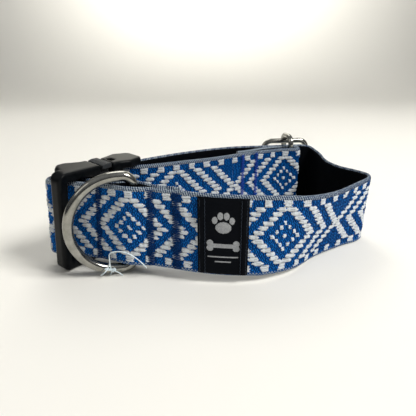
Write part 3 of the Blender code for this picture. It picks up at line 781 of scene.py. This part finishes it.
# ---------------------------------------------------------------- slider
SLIDER_R, SLIDER_ROUND, BAR_ROUND = SLIDER_WIRE / 2, 5.0, 5.0
RAIL_OFFSET = 1.5 + 0.4 + SLIDER_R
SLIDER_TALL = STRAP_W / 2 + 0.5 + SLIDER_R
SLIDER_Z = 26.4
HOOK_R = SLIDER_WIRE + 0.3


def slider_world(t, offset, z):
    x, y = slider_point(t, offset)[:2]
    return ((x + PLAN_SHIFT[0]) * MM, (y + PLAN_SHIFT[1]) * MM, (SLIDER_Z + z) * MM)


frame_points = []
for across, above, start in ((1, 1, 0), (-1, 1, 90), (-1, -1, 180), (1, -1, 270)):
    for a in swept(start, start + 90, 14):
        t = across * (SLIDER_HALF - SLIDER_ROUND) + SLIDER_ROUND * math.cos(a)
        z = above * (SLIDER_TALL - SLIDER_ROUND) + SLIDER_ROUND * math.sin(a)
        frame_points.append(slider_world(t, RAIL_OFFSET, z))
slider_frame = tube("slider_frame_wire", frame_points, SLIDER_R, NICKEL, 22, True)
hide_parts("slider_frame")
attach(slider_frame, "slider")

# the bar's upper half, as offsets and heights: up, out over the strap, and hooked round the frame's rail
upper = [(BAR_OFFSET, z) for z in np.linspace(0, SLIDER_TALL - 2.0, 12)]
for a in swept(180, 90, 12):
    upper.append((BAR_OFFSET + BAR_ROUND * (1 + math.cos(a)), SLIDER_TALL - 1.4 + BAR_ROUND * math.sin(a)))
for a in swept(90, -60, 20):
    upper.append((RAIL_OFFSET + HOOK_R * math.cos(a), SLIDER_TALL + HOOK_R * math.sin(a)))
bar_points = [slider_world(0, n, -z) for n, z in reversed(upper)]
bar_points += [slider_world(0, n, z) for n, z in upper[1:]]
slider_bar = tube("slider_bar_wire", bar_points, SLIDER_R, NICKEL, 22)
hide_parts("slider_bar")
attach(slider_bar, "slider")


# ---------------------------------------------------------------- tag thread
THREAD_R, KNOT_R = 0.28, 0.26
TIE_ANGLE = math.radians(167.0)  # where the thread is tied, round the ring's bow
WRAP = RING_WIRE / 2 + 0.45
# the long end on the strap: x in the plan, height off the seam plane, and place across the strap
ON_STRAP = [(-41.5, 5.6, -13.2), (-38.5, 4.4, -11.0), (-34.5, 3.6, -11.6)]
ON_STRAP += [(-30.5, 3.2, -15.0), (-27.5, 2.6, -19.2)]
tie_out, tie_up = bow(TIE_ANGLE)
tie = ring_axis + ring_dir * tie_out + up * tie_up
bow_depth = RING_DEPTH - RING_STRAIGHT
run = (ring_dir * (-bow_depth * math.cos(TIE_ANGLE)) + up * (RING_HALF * math.sin(TIE_ANGLE))).normalized()
rise = ring_side.cross(run).normalized()
if rise.z < 0:
    rise = -rise
ahead = ring_side if ring_side.y < 0 else -ring_side


def from_point(at, along_ring, forward, upward):
    return at + run * along_ring + ahead * forward + rise * upward


# a short end, one turn round the ring's wire, and the long end on to the strap
thread = [from_point(tie, 3.8, 2.6, -2.6), from_point(tie, 2.4, 4.2, 0.2)]
for k in range(25):
    a = math.radians(50 + 12 * k)
    thread.append(from_point(tie, 0.8 - 0.066 * k, WRAP * math.cos(a), WRAP * math.sin(a)))
for x, off, v in ON_STRAP:
    thread.append(Vector(MAIN.place(MAIN.at_x(x, FOLD_END), v, off)) / MM)
smooth_points = [tuple(p) for p in curved([tuple(p * MM) for p in thread], 0.0006)]
tag = tube("tag_thread_strand", smooth_points, THREAD_R, THREAD, 10)
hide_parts("tag_thread")
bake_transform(tag)

# its knot, a trefoil with a second end and a small bow
knot_at = from_point(tie, -1.4, WRAP + 0.2, 0.7)
knot = [from_point(knot_at, -4.6, 0.4, -2.4), from_point(knot_at, -2.4, 0.6, -0.9)]
for k in range(41):
    t = 2 * math.pi * k / 40
    turn_run = 0.3 * (math.sin(t) + 2 * math.sin(2 * t))
    turn_rise = 0.3 * (math.cos(t) - 2 * math.cos(2 * t))
    knot.append(from_point(knot_at, turn_run, -0.48 * math.sin(3 * t), turn_rise))
for r, f, h in ((1.6, 0.3, 0.5), (3.2, 0.4, 0.8), (4.1, 0.3, 0.4), (2.9, 0.3, 0.0), (0.8, 0.2, 0.0)):
    knot.append(from_point(knot_at, r, f, h))
knot_points = [tuple(p) for p in curved([tuple(p * MM) for p in knot], 0.0003)]
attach(tube("tag_thread_knot", knot_points, KNOT_R, THREAD, 8), "ring")


# ---------------------------------------------------------------- stage, lights and camera, in metres
def sweep(name, colour):
    """A pale floor that curves up into a wall behind the object."""
    profile = [(-4.0, 0.0), (1.0, 0.0)]
    profile += [(1.0 + math.sin(a), 1.0 - math.cos(a)) for a in swept(5, 90, 18)]
    profile.append((2.0, 4.0))
    points = [(x, y, z) for y, z in profile for x in (-5.0, 5.0)]
    faces = [(2 * k, 2 * k + 1, 2 * k + 3, 2 * k + 2) for k in range(len(profile) - 1)]
    mat, _, _ = shader(name, colour, 0.9)
    obj = add_mesh(name, points, faces, [mat])


def area(name, at, target, size, power, colour, spread=180):
    """A square light in watts, aimed at a target."""
    data = bpy.data.lights.new(name, "AREA")
    data.spread = math.radians(spread)
    data.energy, data.size, data.color = power, size, colour
    obj = add_object(name, data)
    obj.location = at
    obj.rotation_euler = (Vector(target) - Vector(at)).to_track_quat("-Z", "Y").to_euler()


def studio(strength, horizon, zenith):
    """A world that is dim at the horizon and bright overhead."""
    world = bpy.data.worlds.new("studio")
    world.use_nodes = True
    sky = world.node_tree
    height = node(sky, "ShaderNodeSeparateXYZ")
    fade = ramp_between(sky, 0.0, 0.75, horizon, zenith)
    sky.links.new(node(sky, "ShaderNodeTexCoord").outputs["Generated"], height.inputs["Vector"])
    sky.links.new(height.outputs["Z"], fade.inputs["Fac"])
    sky.links.new(fade.outputs["Color"], sky.nodes["Background"].inputs["Color"])
    sky.nodes["Background"].inputs["Strength"].default_value = strength
    bpy.context.scene.world = world


sweep("floor", (0.86, 0.845, 0.79))
area("key", (0.75, -0.38, 0.9), (0.03, 0, 0.02), 0.4, 14.0, (1.0, 0.985, 0.96))
area("fill", (-0.9, -0.35, 0.75), (-0.05, 0, 0.02), 0.5, 0.8, (1.0, 0.95, 0.86))
area("back", (-0.15, 0.6, 0.95), (0, 0, 0.02), 0.5, 3.2, (1.0, 0.98, 0.94))
area("wall_wash", (0, 0.5, 1.2), (0, 2.0, 0.9), 1.0, 13.0, (1.0, 0.98, 0.93), 80)
studio(0.42, (0.10, 0.105, 0.12), (0.78, 0.79, 0.80))
bpy.context.scene.view_settings.view_transform = "Standard"

lens = bpy.data.cameras.new("camera")
lens.lens, lens.sensor_width = 32.45, 36.0
lens.clip_start = 0.01
camera = add_object("camera", lens)
camera.location = (-0.00497, -0.19828, 0.090)
camera.rotation_euler = (math.radians(70.0), 0, 0)
bpy.context.scene.camera = camera
